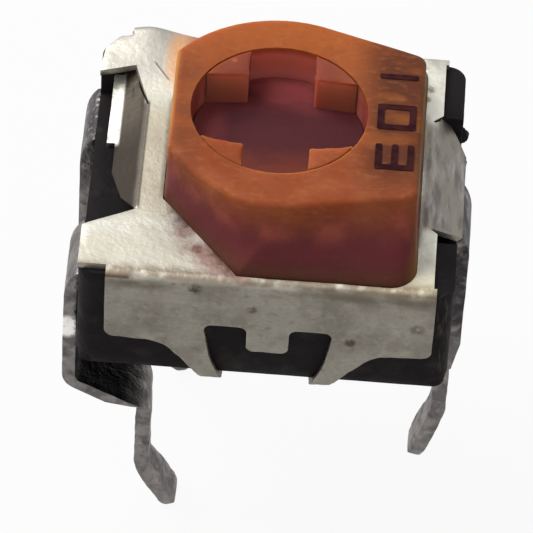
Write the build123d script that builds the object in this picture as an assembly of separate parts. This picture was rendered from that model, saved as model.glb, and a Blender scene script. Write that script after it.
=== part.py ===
from build123d import *
import os
from math import acos, atan2, cos, degrees, radians, sin, sqrt

# Single-turn trimmer potentiometer: a folded sheet cover crimped over a
# moulded base, a fixed housing that stands up through the cover's window,
# and a cross-slotted rotor that turns in the housing.
# Millimetres, +Z up. The origin is on the rotor's axis, in the plane that
# the feet of the three leads stand on. -Y is the front, with the claws.

# Stand
stand_height = 3.70            # underside of the base above the feet

# Moulded base
base_width = 5.00              # along X
base_depth = 4.40              # along Y
base_floor = 0.55              # plastic under the substrate
base_wall = 0.40               # in front of the substrate and behind it
base_corner_radius = 0.25      # upright corners
base_edge_chamfer = 0.09       # bottom edges
pocket_front = 1.40            # left side pocket, reach to the front
pocket_back = 1.68             # left side pocket, reach to the back
side_pocket_reach = 1.18       # right side pocket, reach both ways
pocket_cover = 0.04            # plastic left over the leads in a pocket
seat_clearance = 0.03          # round everything that drops into the base

# Ceramic substrate and its printed films
substrate_left_margin = 0.04   # beyond the seal ring, towards -X
substrate_right_margin = 0.34  # beyond the seal ring, towards +X
substrate_thickness = 0.40
film_thickness = 0.03
track_inset = 0.15             # from the rotor chamber's wall in to the track
track_width = 0.35
track_half_angle = 128.0       # degrees each way from +X
track_landing_angle = 14.0     # of conductor at each end of the track
collector_radius = 0.45
collector_lead_width = 0.50
via_radius = 0.12
end_trace_width = 0.30

# Leads, cut and bent from one strip
lead_thickness = 0.18
lead_width = 1.00
lead_pitch = 2.54              # between the two leads on the left side
lead_gap = 0.02                # between the strip and the base's side
lead_tab_width = 0.50          # inside the base
lead_tab_overlap = 0.24        # of a tab on its printed pad
lead_pin_width = 0.40
lead_cover = 0.09              # plastic between a lead and the housing
lead_pad_margin = 0.05
top_bend_radius = 0.34         # where a lead leaves the base
low_bend_radius = 0.22
pin_bend_radius = 0.22
knee_radius = 0.35
shoulder_above_pin = 0.10      # where the strip starts to narrow
shoulder_height = 0.35         # over which it narrows to the pin
left_drop = 0.95               # below the base, to the inward bend
left_run_in = 1.02             # inward step of the pin
left_run_fall = 0.38
left_knee_height = 0.88        # above the feet
left_lean = 32.0               # of the foot, degrees from upright
right_drop = 1.00
right_run_in = 0.12
right_run_fall = 0.60
right_knee_height = 0.95
right_lean = 26.0

# Solder at the inner end of each lead
solder_length = 0.10
solder_height = 0.14

# Fixed housing
flange_left_lap = 0.06         # of the flange beyond the substrate, towards -X
flange_right_lap = 0.05        # the same towards +X
flange_thickness = 0.45
flange_corner_radius = 0.10
boss_left_wall = 0.25          # between the bore and the flat towards -X
boss_right_step = 0.10         # from the flange's right edge in to the right flat
boss_set_back = 0.07           # of the boss behind the base's front and back
boss_chamfer = 1.06            # left corners, at the cover
boss_corner_radius = 0.33      # right corners, at the cover
boss_height = 1.00             # above the cover
crown_left_lean = 0.00         # of the left flat, from the cover to the top
crown_right_lean = 0.03
crown_wall = 0.58              # between the bore and the round part of the crown
crown_front_inset = 0.73       # right front corner of the crown, inside the boss's flat
crown_back_inset = 0.94        # the same at the back
crown_corner_radius = 0.18
crown_edge_radius = 0.10
seal_wall = 0.11               # ring that stands on the substrate
seal_edge = 0.14               # from the substrate's front and back edges in to that ring
mouth_chamfer = 0.015

# Rotor
rotor_clearance = 0.02         # radial, in the housing's bore
rotor_flange_rim = 0.03        # of the rotor's flange beyond the O-ring
rotor_flange_thickness = 0.22
slot_depth = 0.55
slot_narrow_half = 0.44        # half width of the arms along Y
slot_root_half = 0.69          # half width of the arms along X, at the middle
slot_end_half = 0.57           # the same at the rim
slot_corner_radius = 0.05
lug_reach = 0.12               # stop lug beyond the rotor's flange
lug_half_angle = 14.0
stop_half_angle = 42.0
stop_clearance = 0.03

# O-ring round the rotor
ring_section = 0.20
ring_gap = 0.02
ring_sides = 16                # flats round the section, which stand for its curve

# Wiper spring under the rotor
wiper_thickness = 0.06
wiper_disc_gap = 0.10          # radial, inside the track
wiper_finger_width = 0.34
wiper_finger_lap = 0.19        # of the finger on the disc
wiper_contact_length = 0.12
wiper_gap = 0.01
wiper_dimple_radius = 0.22

# Sheet cover
sheet = 0.10
cover_bend_radius = 0.04       # inside
window_clearance = 0.03
skirt_side_gap = 0.31          # from the base's sides in to the skirt's, on average
skirt_shift = 0.07             # of the skirts towards +X
skirt_drop = 1.18              # below the cover's top, at the corners
notch_drop = 0.84
tab_drop = 1.29
tab_half_width = 0.285
notch_half_width = 0.87
claw_root = 1.42               # where a claw leaves the skirt
claw_root_drop = 1.22
claw_tip_inner = 0.57
claw_tip_outer = 0.83
claw_waist = 0.77              # inner edge of a claw, part of the way down
claw_waist_drop = 1.46
claw_hook = 0.30               # under the base
skirt_corner_radius = 0.14
tab_corner_radius = 0.10
claw_root_radius = 0.40
right_ear_width = 0.14         # from the right bend line out to the plate's edge
front_ear_width = 0.70         # the two ears on the left
back_ear_width = 0.50
back_ear_slant = 0.12          # of the back ear's front edge, over its length
back_corner_cut = 0.20
left_notch_run = 0.23          # of the slanted edge behind the left tongue
right_slant = 0.12             # run of the slanted edges beside the right tongue
tongue_bend_gap = 0.03         # from the housing's flange out to the bend lines
left_tongue_front = 1.05
left_tongue_back = 0.95
left_tongue_length = 0.47
left_nose_length = 0.27
left_nose_front = 0.72
left_edge_front = 0.15         # front end of the free edge, in front of the axis
left_shoulder_length = 0.27
left_shoulder_back = 1.60
left_slope = 35.0              # degrees below the plate
right_tongue_reach = 1.00
right_tongue_length = 0.65
right_nose_inset = 0.30
right_edge_back = 0.75         # back end of the free edge, behind the axis
right_shoulder_length = 0.25
right_slope = 45.0
lip_width = 0.14
lip_back = 1.55
lip_front = 0.40

# Heights and places that follow from these
base_bottom = stand_height
substrate_bottom = base_bottom + base_floor
substrate_top = substrate_bottom + substrate_thickness
film_top = substrate_top + film_thickness
lead_top = film_top + lead_thickness
flange_bottom = lead_top + lead_cover
flange_top = flange_bottom + flange_thickness
cover_top = flange_top + sheet
housing_top = cover_top + boss_height
pocket_floor = lead_top + pocket_cover
lead_axis_x = base_width / 2 + lead_gap + lead_thickness / 2
cover_half_depth = base_depth / 2 + sheet
substrate_depth = base_depth - 2 * base_wall
seal_radius = substrate_depth / 2 - seal_edge
chamber_radius = seal_radius - seal_wall
rotor_flange_radius = chamber_radius - stop_clearance - lug_reach
rotor_radius = rotor_flange_radius - rotor_flange_rim - ring_section
bore_radius = rotor_radius + rotor_clearance
ring_seat_radius = bore_radius + ring_section + ring_gap
rotor_flange_top = flange_bottom + rotor_flange_thickness
chamber_top = rotor_flange_top + ring_gap
ring_seat_top = chamber_top + ring_section
track_outer_radius = chamber_radius - track_inset
track_inner_radius = track_outer_radius - track_width
track_radius = (track_inner_radius + track_outer_radius) / 2
wiper_disc_radius = track_inner_radius - wiper_disc_gap
substrate_left = seal_radius + substrate_left_margin
substrate_right = seal_radius + substrate_right_margin
flange_left = substrate_left + flange_left_lap
flange_right = substrate_right + flange_right_lap
boss_left = bore_radius + boss_left_wall
boss_right = flange_right - boss_right_step
boss_half_depth = base_depth / 2 - boss_set_back
crown_left = boss_left - crown_left_lean
crown_right = boss_right - crown_right_lean
crown_radius = bore_radius + crown_wall
crown_front = boss_half_depth - crown_front_inset
crown_back = boss_half_depth - crown_back_inset
skirt_half_width = base_width / 2 - skirt_side_gap
ear_left = base_width / 2
left_bend = flange_left + tongue_bend_gap
right_bend = flange_right + tongue_bend_gap
ear_right = right_bend + right_ear_width


def slab(outline, low, high):
    """A flat outline raised between two heights."""
    return extrude(Plane.XY.offset(low) * outline, amount=high - low)


def block(x_low, x_high, y_low, y_high, z_low, z_high):
    """A box given by its limits."""
    centre = Pos((x_low + x_high) / 2, (y_low + y_high) / 2, (z_low + z_high) / 2)
    return centre * Box(x_high - x_low, y_high - y_low, z_high - z_low)


def ring_sector(inner, outer, start, end):
    """A flat sector of a ring, angles in degrees from +X."""
    middle = (start + end) / 2

    def spot(radius, angle):
        return (radius * cos(radians(angle)), radius * sin(radians(angle)))

    outline = Wire([
        Line(spot(inner, start), spot(outer, start)),
        ThreePointArc(spot(outer, start), spot(outer, middle), spot(outer, end)),
        Line(spot(outer, end), spot(inner, end)),
        ThreePointArc(spot(inner, end), spot(inner, middle), spot(inner, start)),
    ])
    return make_face(outline)


def boss_foot():
    """Outline of the housing where it passes through the cover."""
    corner = boss_left - boss_chamfer
    outline = make_face(Polyline(
        (-boss_left, boss_half_depth - boss_chamfer),
        (-boss_left, boss_chamfer - boss_half_depth),
        (-corner, -boss_half_depth),
        (boss_right, -boss_half_depth),
        (boss_right, boss_half_depth),
        (-corner, boss_half_depth),
        close=True,
    ))
    right_corners = outline.vertices().group_by(Axis.X)[-1]
    return fillet(right_corners, boss_corner_radius)


def boss_crown():
    """Outline of the housing's top face: round on the left, straight flanks to the right flat."""
    def spot(angle):
        return (crown_radius * cos(angle), crown_radius * sin(angle))

    def tangent_angle(corner):
        reach = sqrt(crown_right ** 2 + corner ** 2)
        return atan2(corner, crown_right) + acos(crown_radius / reach)

    back = tangent_angle(crown_back)
    front = tangent_angle(crown_front)
    flat = acos(-crown_left / crown_radius)
    outline = make_face(Wire([
        Line(spot(flat), spot(-flat)),
        ThreePointArc(spot(-flat), spot(-(flat + front) / 2), spot(-front)),
        Line(spot(-front), (crown_right, -crown_front)),
        Line((crown_right, -crown_front), (crown_right, crown_back)),
        Line((crown_right, crown_back), spot(back)),
        ThreePointArc(spot(back), spot((flat + back) / 2), spot(flat)),
    ]))
    right_corners = outline.vertices().group_by(Axis.X)[-1]
    return fillet(right_corners, crown_corner_radius)


def make_housing():
    """Fixed housing: flange under the cover, boss above it, stepped bore with a stop, seal ring."""
    flange_outline = Pos((flange_right - flange_left) / 2, 0) * RectangleRounded(
        flange_left + flange_right, 2 * boss_half_depth, flange_corner_radius)
    flange = slab(flange_outline, flange_bottom, flange_top)
    neck = slab(boss_foot(), flange_top, cover_top)
    boss = loft([
        Plane.XY.offset(cover_top) * boss_foot(),
        Plane.XY.offset(housing_top) * boss_crown(),
    ], ruled=True)
    boss = fillet(boss.faces().sort_by(Axis.Z)[-1].edges(), crown_edge_radius)
    seal_ring = slab(Circle(seal_radius), film_top, flange_bottom)
    chamber = slab(Circle(chamber_radius), film_top, chamber_top)
    ring_seat = slab(Circle(ring_seat_radius), chamber_top, ring_seat_top)
    bore = slab(Circle(bore_radius), ring_seat_top, housing_top)
    mouth = Pos(0, 0, housing_top - mouth_chamfer / 2) * Cone(
        bore_radius, bore_radius + mouth_chamfer, mouth_chamfer)
    stop_front = 270.0
    stop = slab(
        ring_sector(rotor_flange_radius + stop_clearance, chamber_radius + seal_wall / 2,
                    stop_front - stop_half_angle, stop_front + stop_half_angle),
        flange_bottom, chamber_top)
    return flange + neck + boss + seal_ring - chamber - ring_seat - bore - mouth + stop


def cross_recess():
    """Plan of the rotor's slot: wide tapered arms along X, narrow arms along Y."""
    reach = rotor_radius + 2 * rotor_clearance
    wide = make_face(Polyline(
        (reach, slot_end_half), (0, slot_root_half), (-reach, slot_end_half),
        (-reach, -slot_end_half), (0, -slot_root_half), (reach, -slot_end_half),
        close=True,
    ))
    cross = wide + Rectangle(2 * slot_narrow_half, 2 * reach)
    inner_corners = cross.vertices().sort_by_distance((0, 0))[:4]
    return fillet(inner_corners, slot_corner_radius)


def make_rotor():
    """Rotor: slotted stem, flange under the O-ring, and the lug that meets the housing's stop."""
    flange = slab(Circle(rotor_flange_radius), flange_bottom, rotor_flange_top)
    lug_back = 90.0
    lug = slab(
        ring_sector(rotor_radius, rotor_flange_radius + lug_reach,
                    lug_back - lug_half_angle, lug_back + lug_half_angle),
        flange_bottom, rotor_flange_top)
    stem = slab(Circle(rotor_radius), flange_bottom, housing_top)
    stem = chamfer(stem.faces().sort_by(Axis.Z)[-1].edges(), mouth_chamfer)
    recess = slab(cross_recess(), housing_top - slot_depth, housing_top)
    return flange + lug + stem - recess


def make_o_ring():
    """Sealing ring above the rotor's flange."""
    radius = bore_radius + ring_section / 2
    height = rotor_flange_top + ring_gap / 2 + ring_section / 2
    section = Plane.XZ * Pos(radius, height) * RegularPolygon(ring_section / 2, ring_sides)
    return revolve(section, Axis.Z)


def make_wiper():
    """Spring under the rotor: a disc with a middle dimple and one finger on the track."""
    top = flange_bottom
    plate = top - wiper_thickness
    contact = film_top + wiper_gap
    disc = slab(Circle(wiper_disc_radius), plate, top)
    dimple = Pos(0, 0, (contact + plate) / 2) * Cone(
        wiper_dimple_radius / 2, wiper_dimple_radius, plate - contact)
    finger_start = wiper_disc_radius - wiper_finger_lap
    contact_start = track_radius - wiper_contact_length / 2
    contact_end = track_radius + wiper_contact_length / 2
    profile = make_face(Plane.XZ * Polyline(
        (finger_start, plate),
        (wiper_disc_radius, plate),
        (contact_start, contact),
        (contact_end, contact),
        (contact_end, contact + wiper_thickness),
        (contact_start + wiper_thickness / 2, contact + wiper_thickness),
        (wiper_disc_radius + wiper_thickness / 2, top),
        (finger_start, top),
        close=True,
    ))
    finger = extrude(profile, amount=wiper_finger_width / 2, both=True)
    return disc + dimple + finger


def substrate_outline():
    """Plan of the ceramic plate."""
    width = substrate_left + substrate_right
    return Pos((substrate_right - substrate_left) / 2, 0) * Rectangle(width, substrate_depth)


def make_substrate():
    """Ceramic plate with the hole for the collector's through connection."""
    return slab(substrate_outline() - Circle(via_radius), substrate_bottom, substrate_top)


def track_outline():
    """Plan of the printed resistive ring, open towards -X."""
    return ring_sector(track_inner_radius, track_outer_radius, -track_half_angle, track_half_angle)


def make_track():
    """Printed resistive ring."""
    return slab(track_outline(), substrate_top, film_top)


def make_end_pad(side):
    """Printed pad from one end of the track to the tab of a left lead; side is -1 front, +1 back."""
    lead_y = side * lead_pitch / 2
    pad_half = lead_tab_width / 2 + lead_pad_margin
    pad_right = -substrate_left + lead_tab_overlap + solder_length + lead_pad_margin
    pad = Pos((pad_right - substrate_left) / 2, lead_y) * Rectangle(
        pad_right + substrate_left, 2 * pad_half)
    end_angle = radians(track_half_angle)
    start = Vector(track_radius * cos(end_angle), side * track_radius * sin(end_angle))
    finish = Vector(pad_right, lead_y)
    run = finish - start
    angle = degrees(atan2(run.Y, run.X))
    middle = (start + finish) / 2
    trace = Pos(middle.X, middle.Y) * Rot(0, 0, angle) * Rectangle(run.length, end_trace_width)
    landing = ring_sector(track_inner_radius, track_outer_radius,
                          side * track_half_angle, side * (track_half_angle + track_landing_angle))
    print_plan = (pad + trace + landing - track_outline()) & substrate_outline()
    return slab(print_plan, substrate_top, film_top)


def make_collector():
    """Printed conductor of the wiper: middle disc, via, strip underneath and edge pad at +X."""
    pad_left = substrate_right - lead_tab_overlap - solder_length - lead_pad_margin
    edge = substrate_right + film_thickness
    half = collector_lead_width / 2
    disc = slab(Circle(collector_radius), substrate_top, film_top)
    via = slab(Circle(via_radius), substrate_bottom, substrate_top)
    strip = block(-half, edge, -half, half, substrate_bottom - film_thickness, substrate_bottom)
    wrap = block(substrate_right, edge, -half, half, substrate_bottom, film_top)
    pad = block(pad_left, substrate_right, -half, half, substrate_top, film_top)
    return disc + via + strip + wrap + pad


def lead_centre_line(side, tab_end, drop, run_in, run_fall, knee_height, foot_lean):
    """Side view of a lead's middle surface, from the inner tab to the tip of the foot."""
    pin_x = lead_axis_x - run_in
    run_level = base_bottom - drop
    lean = radians(foot_lean)
    tip_height = lead_thickness / 2 * sin(lean)
    foot_length = (knee_height - tip_height) / cos(lean)
    tip_x = pin_x - foot_length * sin(lean)
    corners = [
        (tab_end, film_top + lead_thickness / 2),
        (lead_axis_x, film_top + lead_thickness / 2),
        (lead_axis_x, run_level),
        (pin_x, run_level - run_fall),
        (pin_x, knee_height),
        (tip_x, tip_height),
    ]
    radii = [top_bend_radius, low_bend_radius, pin_bend_radius, knee_radius]
    points = [(side * x, 0, z) for x, z in corners]
    return FilletPolyline(*points, radius=radii)


def make_lead(side, lead_y, tab_end, drop, run_in, run_fall, knee_height, foot_lean):
    """One lead: strip swept along its centre line, then narrowed to a tab inside and a pin below."""
    path = lead_centre_line(side, tab_end, drop, run_in, run_fall, knee_height, foot_lean)
    section = Plane(origin=path @ 0, x_dir=(0, 1, 0), z_dir=path % 0) * Rectangle(
        lead_width, lead_thickness)
    strip = sweep(section, path=path)
    shoulder = base_bottom - drop - run_fall + shoulder_above_pin
    neck = shoulder - shoulder_height
    half = lead_width / 2
    pin_half = lead_pin_width / 2
    front_view = make_face(Plane.YZ * Polyline(
        (-half, housing_top), (-half, shoulder), (-pin_half, neck), (-pin_half, -lead_thickness),
        (pin_half, -lead_thickness), (pin_half, neck), (half, shoulder), (half, housing_top),
        close=True,
    ))
    strip = strip & extrude(front_view, amount=base_width, both=True)
    tab_half = lead_tab_width / 2
    wall = base_width / 2
    for edge in (-1, 1):
        y_limits = sorted((edge * tab_half, edge * lead_width))
        strip -= block(-wall, wall, y_limits[0], y_limits[1], film_top - lead_thickness, flange_bottom)
    return Pos(0, lead_y, 0) * strip


def make_left_lead(side_y):
    """A lead on the left side, front (-1) or back (+1)."""
    return make_lead(-1, side_y * lead_pitch / 2, substrate_left - lead_tab_overlap, left_drop,
                     left_run_in, left_run_fall, left_knee_height, left_lean)


def make_right_lead():
    """The lead in the middle of the right side, joined to the wiper's conductor."""
    return make_lead(1, 0, substrate_right - lead_tab_overlap, right_drop,
                     right_run_in, right_run_fall, right_knee_height, right_lean)


def make_solder(side, lead_y, tab_end):
    """Solder fillet between a lead's inner end and its pad."""
    profile = make_face(Plane.XZ * Polyline(
        (side * tab_end, film_top),
        (side * (tab_end - solder_length), film_top),
        (side * tab_end, film_top + solder_height),
        close=True,
    ))
    return Pos(0, lead_y, 0) * extrude(profile, amount=lead_tab_width / 2, both=True)


def make_base(leads, collector):
    """Moulded base: tray for the substrate, seat for the housing's flange, side pockets."""
    half_width = base_width / 2
    half_depth = base_depth / 2
    body = slab(RectangleRounded(base_width, base_depth, base_corner_radius), base_bottom, flange_top)
    body = chamfer(body.faces().sort_by(Axis.Z)[0].edges(), base_edge_chamfer)
    body -= block(-flange_left - seat_clearance, flange_right + seat_clearance,
                  -half_depth, half_depth, flange_bottom, flange_top)
    body -= block(-substrate_left - seat_clearance, substrate_right + seat_clearance,
                  -substrate_depth / 2 - seat_clearance, substrate_depth / 2 + seat_clearance,
                  substrate_bottom, flange_bottom)
    body -= slab(Circle(seal_radius + seat_clearance), substrate_bottom, flange_bottom)
    body -= block(-half_width, -flange_left, -pocket_front, pocket_back, pocket_floor, flange_top)
    body -= block(flange_right, half_width, -side_pocket_reach, side_pocket_reach,
                  pocket_floor, flange_top)
    for lead in leads:
        body -= lead
    return body - collector


def skirt_outline():
    """Front view of a skirt: middle tab, two notches, two claws that reach under the base."""
    right_half = [
        (tab_half_width, cover_top - tab_drop, tab_corner_radius),
        (tab_half_width, cover_top - notch_drop, tab_corner_radius),
        (notch_half_width, cover_top - notch_drop, tab_corner_radius),
        (claw_waist, cover_top - claw_waist_drop, 0),
        (claw_tip_inner, base_bottom - sheet, 0),
        (claw_tip_outer, base_bottom - sheet, 0),
        (claw_root, cover_top - claw_root_drop, claw_root_radius),
        (skirt_half_width, cover_top - skirt_drop, skirt_corner_radius),
        (skirt_half_width, flange_top, 0),
    ]
    left_half = [(-x, z, radius) for x, z, radius in reversed(right_half)]
    corners = [(x + skirt_shift, z) for x, z, _ in right_half + left_half]
    radii = [radius for _, _, radius in right_half + left_half]
    return make_face(FilletPolyline(*corners, radius=radii, close=True))


def plate_outline():
    """Plan of the cover's plate: skirt width in front and behind, ears at the sides."""
    flat = cover_half_depth - sheet - 2 * cover_bend_radius
    left_half = make_face(Polyline(
        (0, -flat),
        (-ear_left, -flat),
        (-ear_left, front_ear_width - flat),
        (-left_bend, -left_tongue_front),
        (-left_bend, left_tongue_back),
        (-left_bend - left_notch_run, flat - back_ear_width),
        (-ear_left, flat - back_ear_width - back_ear_slant),
        (-ear_left, flat - back_corner_cut),
        (-ear_left + back_corner_cut, flat),
        (0, flat),
        close=True,
    ))
    right_half = make_face(Polyline(
        (0, -flat),
        (ear_right, -flat),
        (ear_right, -right_tongue_reach - right_slant),
        (right_bend, -right_tongue_reach),
        (right_bend, right_tongue_reach),
        (ear_right, right_tongue_reach + right_slant),
        (ear_right, flat),
        (0, flat),
        close=True,
    ))
    skirt_strips = Rectangle(2 * skirt_half_width, 2 * cover_half_depth) - Rectangle(
        2 * skirt_half_width, 2 * flat)
    return Pos(skirt_shift, 0) * skirt_strips + left_half + right_half


def tongue(side, bend_x, slope, outline):
    """A tongue bent down from the plate's side; the outline is (distance, y) in its own plane."""
    lean = radians(slope)
    plane = Plane(
        origin=(side * bend_x, 0, cover_top - sheet / 2),
        x_dir=(side * cos(lean), 0, -sin(lean)),
        z_dir=(sin(lean), 0, side * cos(lean)),
    )
    flip = plane.y_dir.Y
    face = make_face(plane * Polyline(*[(u, flip * v) for u, v in outline], close=True))
    return extrude(face, amount=sheet / 2, both=True)


def make_left_tongue():
    """Lens-shaped left tongue with a flat lip along the back half of its free edge."""
    length = left_tongue_length
    lean = radians(left_slope)
    sheet_part = tongue(-1, left_bend, left_slope, [
        (0, -left_tongue_front),
        (left_nose_length, -left_nose_front),
        (length, -left_edge_front),
        (length, lip_back),
        (left_shoulder_length, left_shoulder_back),
        (0, left_tongue_back),
    ])
    bend = Pos(-left_bend, (left_tongue_back - left_tongue_front) / 2, cover_top - sheet / 2) * Rot(
        90, 0, 0) * Cylinder(sheet / 2, left_tongue_back + left_tongue_front)
    lip_x = -left_bend - length * cos(lean)
    lip_z = cover_top - sheet / 2 - length * sin(lean)
    lip = block(lip_x - lip_width, lip_x, lip_front, lip_back, lip_z - sheet / 2, lip_z + sheet / 2)
    return sheet_part + bend + lip


def make_right_tongue():
    """Shield-shaped right tongue that leans out over the shoulder of the right lead."""
    length = right_tongue_length
    sheet_part = tongue(1, right_bend, right_slope, [
        (0, -right_tongue_reach),
        (length, right_nose_inset - right_tongue_reach),
        (length, right_edge_back),
        (right_shoulder_length, right_tongue_reach + right_slant),
        (0, right_tongue_reach),
    ])
    bend = Pos(right_bend, 0, cover_top - sheet / 2) * Rot(90, 0, 0) * Cylinder(
        sheet / 2, 2 * right_tongue_reach)
    return sheet_part + bend


def make_cover():
    """Folded cover: one sheet bent over the base, crimped under it by four claws."""
    skirt_y = cover_half_depth - sheet / 2
    plate_z = cover_top - sheet / 2
    hook_z = base_bottom - sheet / 2
    middle_radius = cover_bend_radius + sheet / 2
    path = FilletPolyline(
        (0, -skirt_y + claw_hook, hook_z),
        (0, -skirt_y, hook_z),
        (0, -skirt_y, plate_z),
        (0, skirt_y, plate_z),
        (0, skirt_y, hook_z),
        (0, skirt_y - claw_hook, hook_z),
        radius=middle_radius,
    )
    section = Plane(origin=path @ 0, x_dir=(1, 0, 0), z_dir=path % 0) * Rectangle(
        2 * ear_left, sheet)
    channel = sweep(section, path=path)
    front_view = extrude(Plane.XZ * skirt_outline(), amount=base_depth, both=True)
    below_plate = block(-base_width, base_width, -base_depth, base_depth, 0, flange_top)
    channel -= below_plate - front_view
    cover = channel & slab(plate_outline(), 0, housing_top)
    window = offset(boss_foot(), amount=window_clearance)
    cover -= slab(window, flange_top, cover_top)
    return cover + make_left_tongue() + make_right_tongue()


def build_parts():
    """All sub-parts by node name."""
    front_lead = make_left_lead(-1)
    back_lead = make_left_lead(1)
    right_lead = make_right_lead()
    collector = make_collector()
    left_tab_end = substrate_left - lead_tab_overlap
    right_tab_end = substrate_right - lead_tab_overlap
    return {
        "base_body": make_base([front_lead, back_lead, right_lead], collector),
        "ceramic_substrate": make_substrate(),
        "resistive_track": make_track(),
        "track_end_pad_front": make_end_pad(-1),
        "track_end_pad_back": make_end_pad(1),
        "collector_conductor": collector,
        "terminal_front_left": front_lead,
        "terminal_back_left": back_lead,
        "terminal_right": right_lead,
        "solder_joint_front_left": make_solder(-1, -lead_pitch / 2, left_tab_end),
        "solder_joint_back_left": make_solder(-1, lead_pitch / 2, left_tab_end),
        "solder_joint_right": make_solder(1, 0, right_tab_end),
        "rotor_housing": make_housing(),
        "o_ring": make_o_ring(),
        "rotor": make_rotor(),
        "wiper_spring": make_wiper(),
        "metal_cover": make_cover(),
    }


os.makedirs("parts", exist_ok=True)
for node, shape in build_parts().items():
    export_step(shape, f"parts/{node}.step")
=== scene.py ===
import logging
import math
from collections.abc import Callable, Mapping
from dataclasses import dataclass
from enum import Enum

import bpy
from mathutils import Matrix, Vector


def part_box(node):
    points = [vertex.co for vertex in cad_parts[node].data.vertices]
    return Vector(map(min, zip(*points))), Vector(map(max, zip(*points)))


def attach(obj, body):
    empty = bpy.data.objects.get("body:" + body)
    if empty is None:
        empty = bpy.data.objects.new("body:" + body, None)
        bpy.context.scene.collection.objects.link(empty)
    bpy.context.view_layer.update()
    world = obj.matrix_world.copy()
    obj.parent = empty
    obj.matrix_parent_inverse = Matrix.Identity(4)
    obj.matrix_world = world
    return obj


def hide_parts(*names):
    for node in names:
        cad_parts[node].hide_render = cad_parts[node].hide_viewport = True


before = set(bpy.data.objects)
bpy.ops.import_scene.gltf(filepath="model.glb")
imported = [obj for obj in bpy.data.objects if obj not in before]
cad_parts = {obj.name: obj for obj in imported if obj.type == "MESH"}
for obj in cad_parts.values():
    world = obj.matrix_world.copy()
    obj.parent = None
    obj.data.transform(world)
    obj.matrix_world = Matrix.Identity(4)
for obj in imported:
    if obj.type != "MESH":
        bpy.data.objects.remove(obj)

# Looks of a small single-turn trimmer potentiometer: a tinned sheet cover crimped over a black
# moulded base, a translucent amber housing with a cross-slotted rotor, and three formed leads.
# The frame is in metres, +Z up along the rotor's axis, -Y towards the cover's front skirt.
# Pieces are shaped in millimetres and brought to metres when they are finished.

Pair = tuple[float, float]
Place = tuple[float, float, float]
Piece = bpy.types.Object
Socket = bpy.types.NodeSocket
Tree = bpy.types.NodeTree
Share = Callable[[Vector], float]

MM = 0.001
PHOTO_PIXELS = 533          # width and height of the photograph
WELD_MM = 0.0002            # corners of a copied node nearer than this are one
FLAT_ANGLE = 0.6            # degrees between faces that count as one flat face
NEAR_MM = 0.01              # corners within this of a level or radius are on it
TOP_MM = 0.002              # corners within this of the crown are on its edge

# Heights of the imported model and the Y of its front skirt's face, in millimetres
BASE_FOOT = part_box("base_body")[0].z / MM
PLATE_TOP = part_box("metal_cover")[1].z / MM
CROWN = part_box("rotor_housing")[1].z / MM
SKIRT_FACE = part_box("metal_cover")[0].y / MM

# Directions: the axes, two diagonals, and across and along a scratch on the plate
X, Y, Z = (1.0, 0.0, 0.0), (0.0, 1.0, 0.0), (0.0, 0.0, 1.0)
TO_BACK_LEFT, TO_FRONT_LEFT = (-0.707, 0.707, 0.0), (-0.707, -0.707, 0.0)
SCRATCH_SIDE, SCRATCH_END = (0.803, 0.596, 0.0), (0.596, -0.803, 0.0)

log = logging.getLogger("trimmer")


def linear(code: str) -> tuple[float, float, float, float]:
    """Turns an sRGB hex colour into linear values.

    Args:
        code: The colour, such as "#A8633A".

    Returns:
        Red, green, blue and an alpha of 1.
    """
    parts = [int(code[i:i + 2], 16) / 255 for i in (1, 3, 5)]
    return (*[c / 12.92 if c <= 0.04045 else ((c + 0.055) / 1.055) ** 2.4 for c in parts], 1.0)


def fade(value: float, start: float, end: float) -> float:
    """Share of the way from start, where it is 0, to end, where it is 1; it runs on beyond."""
    return (value - start) / (end - start)


def add_node(tree: Tree, kind: str, inputs: Mapping[str | int, object] | None = None,
             **settings: object) -> bpy.types.Node:
    """Adds one shader node with its settings and links.

    Args:
        tree: The node tree.
        kind: Blender's type name of the node.
        inputs: For each input, by name or number, a socket to link or a value to set.
        settings: Attributes of the node itself.

    Returns:
        The new node.
    """
    node = tree.nodes.new(kind)
    for name, value in settings.items():
        setattr(node, name, value)
    for name, value in (inputs or {}).items():
        if isinstance(value, Socket):
            tree.links.new(value, node.inputs[name])
        else:
            node.inputs[name].default_value = value
    return node


# Masks and layers that finishes are made of


@dataclass(frozen=True)
class Ramp:
    """Mask that eases from 0 at one place along a direction to 1 at another, in millimetres."""

    along: Place
    start_mm: float
    end_mm: float

    def value(self, tree: Tree, place: Socket) -> Socket:
        """Adds the mask's nodes.

        Args:
            tree: The node tree.
            place: Object coordinates in metres.

        Returns:
            The mask, from 0 to 1.
        """
        reach = add_node(tree, "ShaderNodeVectorMath", {0: place, 1: self.along},
                         operation="DOT_PRODUCT").outputs["Value"]
        return add_node(tree, "ShaderNodeMapRange", {
            "Value": reach, "From Min": self.start_mm * MM, "From Max": self.end_mm * MM,
        }, interpolation_type="SMOOTHSTEP").outputs[0]


@dataclass(frozen=True)
class Facing:
    """Mask of the faces that look along a direction."""

    along: Place
    start: float = 0.3
    end: float = 0.7

    def value(self, tree: Tree, place: Socket) -> Socket:
        """Adds the mask's nodes.

        Args:
            tree: The node tree.
            place: Object coordinates in metres, not used.

        Returns:
            The mask, from 0 to 1.
        """
        normal = add_node(tree, "ShaderNodeTexCoord").outputs["Normal"]
        return Ramp(self.along, self.start / MM, self.end / MM).value(tree, normal)


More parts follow.
